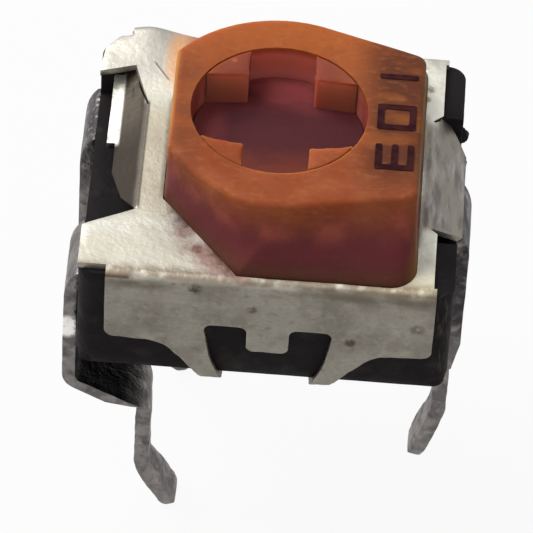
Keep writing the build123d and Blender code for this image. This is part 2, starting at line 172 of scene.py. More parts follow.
@dataclass(frozen=True)
class Spot:
    """Mask that eases from 0 at one distance from a point to 1 at a shorter one.

    The stretch divides each axis's share of the distance, and 0 leaves that axis out.
    """

    middle: Place
    outer_mm: float
    inner_mm: float
    stretch: Place = (1.0, 1.0, 1.0)

    def value(self, tree: Tree, place: Socket) -> Socket:
        """Adds the mask's nodes.

        Args:
            tree: The node tree.
            place: Object coordinates in metres.

        Returns:
            The mask, from 0 to 1.
        """
        weights = Vector([1 / share if share else 0.0 for share in self.stretch])
        shared = add_node(tree, "ShaderNodeVectorMath", {0: place, 1: weights},
                          operation="MULTIPLY").outputs[0]
        reach = add_node(tree, "ShaderNodeVectorMath",
                         {0: shared, 1: Vector(self.middle) * weights * MM},
                         operation="DISTANCE").outputs["Value"]
        return add_node(tree, "ShaderNodeMapRange", {
            "Value": reach, "From Min": self.outer_mm * MM, "From Max": self.inner_mm * MM,
        }, interpolation_type="SMOOTHSTEP").outputs[0]


@dataclass(frozen=True)
class Blots:
    """Mask of soft noise blots of a real size; a stretch draws them out along an axis."""

    size_mm: float
    low: float = 0.38
    high: float = 0.62
    stretch: Place = (1.0, 1.0, 1.0)
    shift_mm: float = 0.0

    def value(self, tree: Tree, place: Socket) -> Socket:
        """Adds the mask's nodes.

        Args:
            tree: The node tree.
            place: Object coordinates in metres.

        Returns:
            The mask, from 0 to 1.
        """
        scaled = add_node(tree, "ShaderNodeMapping", {
            "Vector": place, "Location": [self.shift_mm * MM] * 3,
            "Scale": [1 / share for share in self.stretch],
        }, vector_type="POINT").outputs[0]
        noise = add_node(tree, "ShaderNodeTexNoise",
                         {"Vector": scaled, "Scale": 1 / (self.size_mm * MM), "Detail": 3.0})
        return add_node(tree, "ShaderNodeMapRange", {
            "Value": noise.outputs[0], "From Min": self.low, "From Max": self.high,
        }, interpolation_type="SMOOTHSTEP").outputs[0]


@dataclass(frozen=True)
class Layer:
    """A colour that covers what is below it where all its masks do."""

    colour: str
    masks: tuple[Ramp | Facing | Spot | Blots, ...]
    strength: float = 1.0

    def over(self, tree: Tree, place: Socket, below: Socket) -> Socket:
        """Lays the colour over another.

        Args:
            tree: The node tree.
            place: Object coordinates in metres.
            below: The colour so far.

        Returns:
            The mixed colour.
        """
        cover: Socket | float = self.strength
        for mask in self.masks:
            cover = add_node(tree, "ShaderNodeMath", {0: cover, 1: mask.value(tree, place)},
                             operation="MULTIPLY").outputs[0]
        return add_node(tree, "ShaderNodeMix", {0: cover, 6: below, 7: linear(self.colour)},
                        data_type="RGBA").outputs[2]


@dataclass(frozen=True)
class Finish:
    """A surface: a colour in two patchy tones, layers over it, fine bumps and a gloss that varies.

    A bump is a mask and its depth in millimetres. The roughness goes from one to the other with
    the patches. Inside is the share of light that enters the surface, and its reach there.
    """

    name: str
    tones: tuple[str, str]
    patches: Blots
    bumps: tuple[tuple[Blots, float], ...]
    roughness: Pair
    layers: tuple[Layer, ...] = ()
    metallic: float = 0.0
    ior: float = 1.5
    specular: float = 0.5
    inside: Pair = (0.0, 0.0)

    def material(self) -> bpy.types.Material:
        """Builds the node material once, and finds it again afterwards.

        Returns:
            The material.
        """
        made = bpy.data.materials.get(self.name)
        if made is None:
            made = bpy.data.materials.new(self.name)
            made.use_nodes = True
            made.diffuse_color = linear(self.tones[0])
            tree = made.node_tree
            tree.nodes.clear()
            place = add_node(tree, "ShaderNodeTexCoord").outputs["Object"]
            add_node(tree, "ShaderNodeOutputMaterial", {"Surface": self.shader(tree, place)})
        return made

    def shader(self, tree: Tree, place: Socket) -> Socket:
        """The whole surface shader.

        Args:
            tree: The node tree.
            place: Object coordinates in metres.

        Returns:
            The shader's output.
        """
        patches = self.patches.value(tree, place)
        colour = add_node(tree, "ShaderNodeMix", {
            0: patches, 6: linear(self.tones[0]), 7: linear(self.tones[1]),
        }, data_type="RGBA").outputs[2]
        for layer in self.layers:
            colour = layer.over(tree, place, colour)
        inputs: dict[str, object] = {
            "Base Color": colour, "Metallic": self.metallic, "IOR": self.ior,
            "Specular IOR Level": self.specular,
            "Roughness": add_node(tree, "ShaderNodeMapRange", {
                "Value": patches, "To Min": self.roughness[0], "To Max": self.roughness[1],
            }).outputs[0],
        }
        for blots, depth_mm in self.bumps:
            bump = {"Height": blots.value(tree, place), "Distance": depth_mm * MM}
            if "Normal" in inputs:
                bump["Normal"] = inputs["Normal"]
            inputs["Normal"] = add_node(tree, "ShaderNodeBump", bump).outputs[0]
        if self.inside[0]:
            inputs |= {"Subsurface Weight": self.inside[0], "Subsurface Radius": (1.0, 0.28, 0.1),
                       "Subsurface Scale": self.inside[1] * MM}
        return add_node(tree, "ShaderNodeBsdfPrincipled", inputs).outputs[0]


@dataclass(frozen=True)
class FloorFinish(Finish):
    """Pale studio floor that reads white behind the object and still takes its shadow."""

    share: float = 0.93

    def shader(self, tree: Tree, place: Socket) -> Socket:
        """Plain floor for the light, mostly white for what sees it directly or in a mirror.

        Args:
            tree: The node tree.
            place: Object coordinates in metres.

        Returns:
            The shader's output.
        """
        white = add_node(tree, "ShaderNodeEmission", {"Color": (1, 1, 1, 1), "Strength": 1.0})
        seen = add_node(tree, "ShaderNodeMath", {0: seen_rays(tree), 1: self.share},
                        operation="MULTIPLY").outputs[0]
        return add_node(tree, "ShaderNodeMixShader", {
            0: seen, 1: super().shader(tree, place), 2: white.outputs[0],
        }).outputs[0]


def seen_rays(tree: Tree) -> Socket:
    """Tells what is seen from what lights.

    Args:
        tree: The node tree.

    Returns:
        1 for rays from the camera, from mirrors and through glass, and 0 for light on surfaces.
    """
    path = add_node(tree, "ShaderNodeLightPath")
    seen = path.outputs["Is Camera Ray"]
    for name in ("Is Glossy Ray", "Is Transmission Ray"):
        seen = add_node(tree, "ShaderNodeMath", {0: seen, 1: path.outputs[name]},
                        operation="MAXIMUM").outputs[0]
    return seen


def speck(middle: Place, radius_mm: float, colour: str, strength: float = 0.9) -> Layer:
    """A small spot with a broken edge: a stain, or a painted glint where it is lighter than the
    surface.

    Args:
        middle: Its place, in millimetres.
        radius_mm: Its reach.
        colour: Its colour.
        strength: How much it covers.

    Returns:
        The layer.
    """
    return Layer(colour, (Spot(middle, radius_mm, 0.35 * radius_mm),
                          Blots(0.09, 0.3, 0.55, shift_mm=7.0)), strength)


# Finishes

ON_BENT = Ramp(Z, PLATE_TOP - 0.03, PLATE_TOP - 0.10)
ON_PLATE = Ramp(Z, PLATE_TOP - 0.10, PLATE_TOP - 0.03)
ON_SKIRT = Facing((0.0, -1.0, 0.0))
ON_LEFT_TONGUE = (Ramp(X, -1.79, -1.84), Ramp(Z, PLATE_TOP - 0.02, PLATE_TOP - 0.06),
                  Facing(Z, 0.4, 0.6))
ON_RIGHT_TONGUE = (Ramp(X, 1.98, 2.06), Ramp(Y, 1.05, 0.85), Ramp(Y, -1.15, -0.95),
                   Facing(Z, 0.2, 0.4))
ON_LIP = (Ramp(X, -2.13, -2.18), Ramp(Y, 0.30, 0.42), Ramp(Z, PLATE_TOP - 0.14, PLATE_TOP - 0.20),
          Facing(Z, 0.2, 0.5))
TOWARDS_FRONT_BEND = Ramp(Y, SKIRT_FACE + 0.30, SKIRT_FACE + 0.12)
# Where the plate beside the housing's back left carries a painted reflection of the amber
AMBER_REFLECTION_ON_PLATE = (Ramp(X, -1.70, -1.48), Ramp(X, -0.3, -0.7), Ramp(Y, 1.1, 1.6),
                Ramp(TO_BACK_LEFT, 2.75, 2.48))

# Dull tin over steel: nearly white where the plate lies open, greyer as painted shade wherever the
# sheet bends down, with mottled, browner marks along the bends
TIN_SHEET = Finish(
    "tinned sheet steel, folded", ("#D0CFC5", "#C2C0B5"), Blots(0.8),
    bumps=((Blots(0.45), 0.003), (Blots(0.07), 0.0012)), roughness=(0.46, 0.56), metallic=1.0,
    layers=(
        Layer("#ADA48F", (Ramp(X, -1.2, -1.4), Ramp(Y, 1.6, 0.6), Ramp(Y, -1.5, -0.9)), 0.75),
        Layer("#BDB8AA", (Ramp(X, -0.9, -1.4), Ramp(Y, -1.30, -1.65), ON_PLATE), 0.8),
        Layer("#A9A292", (Blots(0.30, 0.50, 0.72),), 0.45),
        Layer("#A7A39A", (Spot((-2.05, 2.0, PLATE_TOP), 0.95, 0.35), ON_PLATE)),
        Layer("#9E9A92", (Ramp(Y, 1.85, 2.15), Blots(0.25, 0.32, 0.58), ON_PLATE), 0.7),
        # Painted reflection: the amber's warm glow on the plate at its back left
        Layer("#D09C70", AMBER_REFLECTION_ON_PLATE + (ON_PLATE,), 0.85),
        # Painted reflection: the amber's pinkish brown on the plate in front of the housing's front
        # left
        Layer("#80605A", (Ramp(TO_FRONT_LEFT, 2.28, 1.85), Ramp(X, -1.45, -1.15), ON_PLATE,
                          Ramp(X, 0.3, -0.3), Blots(0.35, 0.25, 0.60)), 0.75),
        Layer("#CFC7AD", (Ramp(X, 0.4, 2.2), Ramp(Y, -1.7, -2.15)), 0.8),
        # Painted shade: the sheet below the plate's level is grey, then mottled
        Layer("#8F8A80", (ON_BENT,)),
        Layer("#726C62", (ON_BENT, Blots(0.55, 0.36, 0.68)), 0.7),
        Layer("#A19B8D", (ON_BENT, Blots(0.24, 0.46, 0.76, shift_mm=3.0)), 0.5),
        Layer("#625B52", (ON_BENT, Blots(0.15, 0.54, 0.80, shift_mm=5.0)), 0.6),
        Layer("#A9A396", (ON_BENT, Blots(0.05, 0.50, 0.80, (1.4, 1.0, 1.0), 11.0)), 0.35),
        Layer("#5A534B", (ON_BENT, Blots(0.05, 0.50, 0.80, (1.4, 1.0, 1.0), 14.0)), 0.35),
        # Painted shade: the right tongue, bent down, darker grey, with darker and lighter streaks
        # along it
        Layer("#8A857C", ON_RIGHT_TONGUE, 0.9),
        Layer("#5F5855", ON_RIGHT_TONGUE + (Blots(0.22, 0.44, 0.68, (0.6, 2.0, 0.6)),), 0.7),
        Layer("#ABA7A6", ON_RIGHT_TONGUE + (Blots(0.25, 0.52, 0.72, (0.5, 2.0, 0.5), 8.0),), 0.6),
        # Painted shadow: a thin dark line along the left bend
        Layer("#57504A", (Ramp(X, -1.755, -1.79), Ramp(Y, -1.10, -0.98), Ramp(Y, 1.04, 0.94)), 0.9),
        # Painted shade: the left tongue, bent down, dark brown-grey and darker towards the front
        # and its outer edge, with darker streaks along it
        Layer("#625B51", ON_LEFT_TONGUE),
        Layer("#352E28", ON_LEFT_TONGUE + (Ramp(Y, 1.3, 0.1),), 0.85),
        Layer("#3F3830", ON_LEFT_TONGUE + (Ramp(X, -1.93, -1.84), Blots(0.16, 0.30, 0.55)), 0.8),
        Layer("#453D34", ON_LEFT_TONGUE + (Blots(0.12, 0.50, 0.70, (0.6, 3.0, 0.6), 9.0),), 0.6),
        # Painted highlight: the lip at the left tongue's outer edge, near white
        Layer("#E9E7DD", ON_LIP + (Blots(0.14, 0.20, 0.42, (1.0, 2.0, 1.0), 2.0),)),
        Layer("#7A6A58", (TOWARDS_FRONT_BEND, ON_PLATE, Blots(0.22, 0.26, 0.56)), 0.8),
        Layer("#5E5549", (ON_SKIRT, Ramp(Z, PLATE_TOP - 0.30, PLATE_TOP - 0.14),
                          Blots(0.28, 0.40, 0.62, (2.5, 1.0, 1.0))), 0.7),
        # Painted reflection: a pinkish-brown spot of the amber on the plate in front of the housing
        Layer("#9C7F74", (Spot((-0.62, -1.80, PLATE_TOP), 0.50, 0.15),), 0.65),
        Layer("#5C5850", (Ramp(SCRATCH_SIDE, -0.430, -0.414), Ramp(SCRATCH_SIDE, -0.388, -0.404),
                          Ramp(SCRATCH_END, -2.45, -2.38), Ramp(SCRATCH_END, -2.02, -2.09),
                          ON_PLATE), 0.75),
        speck((-1.72, 2.10, PLATE_TOP), 0.14, "#77716A", 0.6),
        speck((-2.02, 2.06, PLATE_TOP), 0.10, "#8B857A", 0.5),
        speck((-0.30, -2.02, PLATE_TOP), 0.25, "#8A6A60", 0.6),
        speck((-0.95, -1.72, PLATE_TOP), 0.12, "#7A564C", 0.8),
        speck((-0.92, SKIRT_FACE, 5.33), 0.13, "#3E352F", 0.8),
        speck((-0.16, SKIRT_FACE, 5.02), 0.10, "#4A4038", 0.7),
        speck((1.17, SKIRT_FACE, 4.52), 0.11, "#40362F", 0.8),
        speck((2.04, SKIRT_FACE, 4.87), 0.14, "#4D453D", 0.6),
        speck((2.02, 1.62, PLATE_TOP), 0.10, "#7A6C58", 0.8),
        speck((1.98, 1.42, PLATE_TOP), 0.08, "#7A6C58", 0.8),
    ),
)
# Inner and upper faces of the left leads under the base, where shade falls
SHADED_INSIDE_LEFT = (Facing((0.8, 0.0, 0.6), 0.45, 0.75), Ramp(X, -1.60, -1.90), Ramp(Z, 2.2, 2.4))
# Thin tinned strip: mid grey with handling marks, darker high up beside the base, near black inside
# the left leads as painted shade, and with a painted highlight on the front-left lead
TIN_STRIP = Finish(
    "tinned lead strip, dulled", ("#827D7A", "#6A6565"), Blots(0.30),
    bumps=((Blots(0.20), 0.006), (Blots(0.05), 0.0015)), roughness=(0.42, 0.56), metallic=1.0,
    layers=(
        Layer("#9B9693", (Blots(0.13, 0.54, 0.74),), 0.6),
        Layer("#4A4546", (Blots(0.14, 0.52, 0.72, shift_mm=4.0),), 0.6),
        Layer("#3A3537", (Ramp(X, -1.0, -2.0), Ramp(Y, 0.3, 0.8), Ramp(Z, 4.0, 4.6)), 0.75),
        Layer("#8D8A8A", (Ramp(X, -1.0, -2.0), Ramp(Y, 0.3, 0.8), Ramp(Z, 4.0, 4.6),
                          Blots(0.10, 0.52, 0.66, shift_mm=2.0)), 0.8),
        Layer("#2C272A", (Ramp(X, 1.8, 2.2), Ramp(Z, 2.6, 3.0), Blots(0.24, 0.28, 0.54)), 0.85),
        # Painted shade: near black inside the left leads, under the base
        Layer("#0F0C0E", SHADED_INSIDE_LEFT),
        # Painted highlight: a bright white spot on the front-left lead
        Layer("#F2EFEA", (Spot((-2.64, -1.72, 3.86), 0.20, 0.12, (1.0, 1.0, 1.3)),
                          Blots(0.14, 0.26, 0.44))),
    ),
)
# Old solder: lumpy, semi-bright grey
SOLDER = Finish(
    "solder, hand run", ("#9A9694", "#77726F"), Blots(0.22),
    bumps=((Blots(0.14), 0.012),), roughness=(0.30, 0.45), metallic=1.0,
)
# Amber plastic, moulded smooth, that lets some light in: painted light and shade make it lighter
# towards the back, darker on its sides and brown-red lower down; thin rims carry painted
# highlights, and there are streaks where the melt flowed
AMBER_LAYERS = (
    # Painted light and shade: lighter towards the back, darker at the left front and on the right
    Layer("#A55A2C", (Ramp(Y, 0.0, 1.7),), 0.8),
    Layer("#74412A", (Ramp(X, -0.85, -1.3), Ramp(Y, 1.4, 0.4)), 0.7),
    Layer("#572F20", (Ramp(X, 0.8, 1.5), Ramp(Y, -1.9, -0.6), Ramp(Y, 1.9, 1.3)), 0.95),
    # Painted highlight along the housing's left edge
    Layer("#BC8044", (Ramp(X, -1.37, -1.43), Ramp(Y, -0.8, -0.2)), 0.7),
    Layer("#A8602C", (Blots(0.30, 0.50, 0.72, (2.5, 1.0, 1.0)),), 0.35),
    Layer("#7A3C24", (Blots(0.38, 0.52, 0.74, (1.0, 2.0, 1.0), 6.0),), 0.35),
    Layer("#BC7C4A", (Blots(0.07, 0.50, 0.80, (2.0, 1.0, 1.0), 12.0),), 0.22),
    Layer("#6A3622", (Blots(0.07, 0.50, 0.80, (1.5, 1.0, 1.0), 13.0),), 0.25),
)
IN_BORE = Spot((0.0, 0.0, 0.0), 1.23, 1.20, (1.0, 1.0, 0.0))
AMBER = Finish(
    "amber thermoplastic, moulded", ("#935030", "#8A4527"), Blots(0.7),
    bumps=((Blots(0.30), 0.003), (Blots(0.07), 0.0010)), roughness=(0.50, 0.62),
    ior=1.55, specular=0.06, inside=(0.40, 0.50),
    layers=AMBER_LAYERS + (
        # Painted shade: the housing's walls darker and redder lower down
        Layer("#672F32", (Ramp(Z, CROWN - 0.02, CROWN - 0.58),)),
        Layer("#9A4E40", (Ramp(Z, CROWN - 0.10, CROWN - 0.36), Ramp(Z, CROWN - 0.66, CROWN - 0.40),
                          Blots(0.40, 0.40, 0.65)), 0.6),
        # Painted shade: darkest at the foot, where the housing meets the plate
        Layer("#4E3222", (Ramp(Z, PLATE_TOP + 0.30, PLATE_TOP + 0.02),), 0.7),
        # Painted highlight: a light band down the housing's left edge
        Layer("#B87A42", (Ramp(X, -1.39, -1.45), Ramp(Z, CROWN - 0.40, CROWN - 0.08)), 0.6),
        # Painted shade: dark olive streaks along the housing's right edge
        Layer("#7C5A2A", (Ramp(X, 1.80, 1.98), Blots(0.3, 0.3, 0.6, (1.0, 2.0, 2.0))), 0.7),
        # Painted shade: the bore's wall dark red below its rim
        Layer("#8C4038", (IN_BORE, Ramp(Z, CROWN - 0.02, CROWN - 0.16))),
        # Painted light: the bore's back wall, seen through the recess, bright red and pink
        Layer("#D8755E", (IN_BORE, Ramp(Z, CROWN - 0.02, CROWN - 0.16), Ramp(Y, 0.3, 0.9))),
        Layer("#DE8078", (IN_BORE, Ramp(Z, CROWN - 0.25, CROWN - 0.50), Ramp(Y, 0.3, 0.9))),
    ),
)
# The same plastic on the rotor; its recess is painted dark red towards the floor as painted shade,
# with painted light on its back wall, its left arm and the back blocks' front faces
IN_RECESS = (Ramp(Z, CROWN - 0.16, CROWN - 0.48),)
# Front faces of the back blocks below the top, which are given painted light
LIT_BACK_BLOCK_FACES = (Ramp(Y, 0.10, 0.30), Ramp(Z, CROWN - 0.01, CROWN - 0.08),
                  Facing((0.0, -1.0, 0.0), 0.4, 0.8))
AMBER_ROTOR = Finish(
    "amber thermoplastic, rotor", AMBER.tones, AMBER.patches, AMBER.bumps, (0.52, 0.62),
    ior=1.55, specular=0.06, inside=(0.60, 0.50),
    layers=AMBER_LAYERS + (
        Layer("#7E3E34", (Spot((0.0, 0.58, 0.0), 1.10, 0.50, (1.2, 1.0, 0.0)),), 0.85),
        Layer("#B4603E", (Ramp(Z, CROWN - 0.01, CROWN - 0.10), Ramp(Y, 0.3, 0.0))),
        # Painted shade: the recess darker red with depth, darkest from its middle forward; its back
        # wall lighter red as painted light; browner in the front arm, with darker blots
        Layer("#7A3739", IN_RECESS),
        Layer("#9A4A4A", IN_RECESS + (Ramp(Y, 0.80, 1.10),)),
        Layer("#50262A", IN_RECESS + (Ramp(Y, 0.75, 0.40),)),
        Layer("#6E352A", IN_RECESS + (Ramp(Y, -0.05, -0.60),)),
        Layer("#421C22", IN_RECESS + (Blots(0.32, 0.46, 0.70, (2.0, 1.0, 1.0)),), 0.4),
        # Painted light: the left arm lighter red
        Layer("#8A4446", IN_RECESS + (Ramp(X, -0.60, -1.0),), 0.8),
        # Painted light: the back blocks' front faces lighter, deep in the recess too
        Layer("#BE6E52", LIT_BACK_BLOCK_FACES),
        Layer("#B06652", LIT_BACK_BLOCK_FACES + IN_RECESS),
        # Painted glints: small light spots on the rotor's top
        speck((0.66, 0.52, CROWN), 0.06, "#B8704A", 0.8),
        speck((0.93, 0.42, CROWN), 0.05, "#C07A50", 0.8),
        speck((-0.66, 0.88, CROWN), 0.06, "#B06A44", 0.6),
    ),
)
# Ink, stamped and baked: flat dark brown, a little broken
INK = Finish(
    "marking ink, stamped", ("#260D12", "#3A1A1A"), Blots(0.12),
    bumps=((Blots(0.03), 0.0008),), roughness=(0.60, 0.70), specular=0.05,
)
# Glass-filled thermoset from a matt mould: near black, dusty where it was handled, with a painted
# highlight streaked down its front right corner
BLACK = Finish(
    "black thermoset, moulded", ("#151114", "#1A1618"), Blots(0.5),
    bumps=((Blots(0.25), 0.005), (Blots(0.06), 0.0012)), roughness=(0.60, 0.75), specular=0.1,
    layers=(
        Layer("#3A3431", (Blots(0.40, 0.55, 0.80),), 0.5),
        # Painted highlight: streaks down the front right corner
        Layer("#5A524A", (Spot((2.5, SKIRT_FACE, 4.6), 0.34, 0.10, (1.0, 1.0, 6.0)),
                          Blots(0.06, 0.50, 0.66, (1.0, 1.0, 5.0))), 0.7),
    ),
)
# Fired alumina: chalky white
CERAMIC = Finish(
    "fired alumina", ("#E6E3DB", "#D9D5CB"), Blots(0.5),
    bumps=((Blots(0.04), 0.001),), roughness=(0.65, 0.75), ior=1.7,
)
# Printed and fired resistor glaze: black, slightly glossy
CERMET = Finish(
    "fired cermet film", ("#2A2727", "#353131"), Blots(0.3),
    bumps=((Blots(0.03), 0.001),), roughness=(0.30, 0.40),
)
# Silver-palladium conductor: pale, matt metal
CONDUCTOR = Finish(
    "fired silver film", ("#BDB9B0", "#A8A49B"), Blots(0.25),
    bumps=((Blots(0.03), 0.001),), roughness=(0.45, 0.55), metallic=1.0,
)
# Moulded silicone: soft red-brown, matt
SILICONE = Finish(
    "silicone rubber", ("#5A2A1C", "#4B2318"), Blots(0.3),
    bumps=((Blots(0.04), 0.001),), roughness=(0.55, 0.65), ior=1.43,
)
# Rolled nickel-silver spring strip: warm pale metal
SPRING = Finish(
    "nickel silver spring strip", ("#B9AC90", "#A89B80"), Blots(0.3),
    bumps=((Blots(0.03), 0.0008),), roughness=(0.26, 0.34), metallic=1.0,
)
FLOOR = FloorFinish(
    "pale floor", ("#C4C4C2", "#C0C0BE"), Blots(12.0), bumps=(), roughness=(0.8, 0.8),
)


# Work on the meshes


class Bench:
    """Hand operations on mesh pieces, in millimetres."""

    @staticmethod
    def take(piece: Piece) -> None:
        """Leaves one piece selected and active.

        Args:
            piece: The piece.
        """
        for item in bpy.context.selected_objects:
            item.select_set(False)
        piece.select_set(True)
        bpy.context.view_layer.objects.active = piece

    @staticmethod
    def edit(piece: Piece, mode: str = "FACE") -> None:
        """Opens a piece for editing with nothing selected.

        Args:
            piece: The piece.
            mode: What is selected in it: FACE, EDGE or VERT.
        """
        Bench.take(piece)
        bpy.ops.object.mode_set(mode="EDIT")
        bpy.ops.mesh.select_mode(type=mode)
        bpy.ops.mesh.select_all(action="DESELECT")

    @staticmethod
    def done() -> None:
        """Leaves edit mode."""
        bpy.ops.object.mode_set(mode="OBJECT")

    @staticmethod
    def pick(piece: Piece, wanted: Callable[[Vector], bool], mode: str = "FACE") -> None:
        """Selects the faces or corners of a piece in edit mode by their place.

        Args:
            piece: The piece, open for editing.
            wanted: Says from a face's middle or a corner's place whether it is meant.
            mode: FACE or VERT.
        """
        Bench.done()
        faces = mode == "FACE"
        for item in piece.data.polygons if faces else piece.data.vertices:
            if wanted(item.center if faces else item.co):
                item.select = True
        bpy.ops.object.mode_set(mode="EDIT")
        bpy.ops.mesh.select_mode(type=mode)

    @staticmethod
    def copy_node(node: str, name: str) -> Piece:
        """A welded copy of a CAD node's mesh in millimetres, with its flat faces whole.

        Args:
            node: Name of the CAD node.
            name: Name of the new piece.

        Returns:
            The new piece.
        """
        piece = bpy.data.objects.new(name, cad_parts[node].data.copy())
        bpy.context.scene.collection.objects.link(piece)
        piece.data.materials.clear()
        piece.data.transform(Matrix.Scale(1 / MM, 4))
        Bench.take(piece)
        bpy.ops.mesh.customdata_custom_splitnormals_clear()
        Bench.edit(piece)
        bpy.ops.mesh.select_all(action="SELECT")
        bpy.ops.mesh.remove_doubles(threshold=WELD_MM)
        bpy.ops.mesh.dissolve_limited(angle_limit=math.radians(FLAT_ANGLE))
        Bench.done()
        return piece

    @staticmethod
    def apply(piece: Piece, kind: str, **settings: object) -> None:
        """Adds a modifier with its settings and applies it.

        Args:
            piece: The piece.
            kind: Blender's type name of the modifier.
            settings: Attributes of the modifier.
        """
        Bench.take(piece)
        modifier = piece.modifiers.new(kind.lower(), kind)
        for name, value in settings.items():
            setattr(modifier, name, value)
        bpy.ops.object.modifier_apply(modifier=modifier.name)

    @staticmethod
    def round_edges(piece: Piece, width: float, segments: int = 2, angle: float = 40.0) -> None:
        """Rounds a piece's sharp edges.

        Args:
            piece: The piece.
            width: Width of the rounding.
            segments: Faces across it.
            angle: Edges that turn by more degrees are sharp.
        """
        Bench.edit(piece, "EDGE")
        bpy.ops.mesh.edges_select_sharp(sharpness=math.radians(angle))
        bpy.ops.transform.edge_bevelweight(value=1.0)
        Bench.done()
        Bench.apply(piece, "BEVEL", width=width, segments=segments, limit_method="WEIGHT",
                    miter_outer="MITER_ARC")

    @staticmethod
    def cut_grid(piece: Piece, step: float) -> None:
        """Cuts a piece by planes a step apart along each axis, so that its flat faces can ripple.

        Args:
            piece: The piece.
            step: Distance from one plane to the next.
        """
        corners = [Vector(corner) for corner in piece.bound_box]
        Bench.edit(piece)
        for axis in range(3):
            low = min(corner[axis] for corner in corners)
            high = max(corner[axis] for corner in corners)
            normal = Vector((0, 0, 0))
            normal[axis] = 1
            for cut in range(1, round((high - low) / step)):
                bpy.ops.mesh.select_all(action="SELECT")
                bpy.ops.mesh.bisect(plane_co=normal * (low + cut * step), plane_no=normal)
        Bench.done()

    @staticmethod
    def weigh(piece: Piece, name: str, share: Share) -> str:
        """Paints a vertex group by place.

        Args:
            piece: The piece.
            name: Name of the group.
            share: Says from a corner's place how much of it, from 0 to 1, is in the group.

        Returns:
            The group's name.
        """
        group = piece.vertex_groups.new(name=name)
        for vertex in piece.data.vertices:
            group.add([vertex.index], max(0.0, min(1.0, share(vertex.co))), "REPLACE")
        return name

    @staticmethod
    def ripple(piece: Piece, size: float, depth: float, group: str = "",
               middle: float = 0.5) -> None:
        """Moves the surface in and out by soft noise.

        Args:
            piece: The piece.
            size: Size of one swelling.
            depth: Height from the lowest to the highest point.
            group: Vertex group that says how much each point moves, or nothing.
            middle: Share of the noise that leaves the surface where it is.
        """
        name = f"clouds {size}"
        clouds = bpy.data.textures.get(name) or bpy.data.textures.new(name, "CLOUDS")
        clouds.noise_scale = size
        clouds.noise_depth = 2
        Bench.apply(piece, "DISPLACE", texture=clouds, strength=depth, mid_level=middle,
                    texture_coords="LOCAL", vertex_group=group)

    @staticmethod
    def push(piece: Piece, direction: str, distance: float, share: Share) -> None:
        """Moves part of a piece along an axis or along its own normals.

        Args:
            piece: The piece.
            direction: X, Y, Z or NORMAL.
            distance: How far it moves where the share is 1.
            share: Says from a corner's place how much of the distance it moves.
        """
        group = Bench.weigh(piece, f"push {len(piece.vertex_groups)}", share)
        Bench.apply(piece, "DISPLACE", direction=direction, strength=distance, mid_level=0.0,
                    vertex_group=group)

    @staticmethod
    def ease(piece: Piece, times: int, share: Share) -> None:
        """Smooths part of a piece.

        Args:
            piece: The piece.
            times: How often its corners move towards their neighbours.
            share: Says from a corner's place how much it is smoothed.
        """
        group = Bench.weigh(piece, f"ease {len(piece.vertex_groups)}", share)
        Bench.apply(piece, "SMOOTH", factor=0.5, iterations=times, vertex_group=group)

    @staticmethod
    def widen(piece: Piece, factors: Place, wanted: Callable[[Vector], bool]) -> None:
        """Scales the corners that are meant about the rotor's axis.

        Args:
            piece: The piece.
            factors: Scale along each axis.
            wanted: Says from a corner's place whether it is meant.
        """
        Bench.edit(piece, "VERT")
        Bench.pick(piece, wanted, "VERT")
        bpy.ops.transform.resize(value=factors, center_override=(0.0, 0.0, CROWN))
        Bench.done()

    @staticmethod
    def hand_over(piece: Piece, finish: Finish, body: str, slot: str, *nodes: str,
                  smooth_angle: float = 38.0) -> None:
        """Brings a piece to metres, dresses it and seats it on its body.

        Args:
            piece: The finished piece, in millimetres.
            finish: Its surface.
            body: Body that it moves with.
            slot: Name of a material slot; not used.
            nodes: CAD nodes that it stands for.
            smooth_angle: Edges that turn by less, in degrees, are shaded smooth.
        """
        piece.vertex_groups.clear()
        piece.data.transform(Matrix.Scale(MM, 4))
        Bench.take(piece)
        bpy.ops.object.shade_smooth_by_angle(angle=math.radians(smooth_angle))
        piece.data.materials.append(finish.material())
        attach(piece, body)
        if nodes:
            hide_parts(*nodes)
        log.info("%s: %d faces, rides on %s", piece.name, len(piece.data.polygons), body)

    @staticmethod
    def dress_node(node: str, finish: Finish) -> None:
        """Gives a CAD node that stays as it is its own finish.

        Args:
            node: Name of the CAD node.
            finish: Its surface.
        """
        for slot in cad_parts[node].material_slots:
            slot.material = finish.material()
        log.info("%s: kept, %s", node, finish.name)


# Sub-assemblies


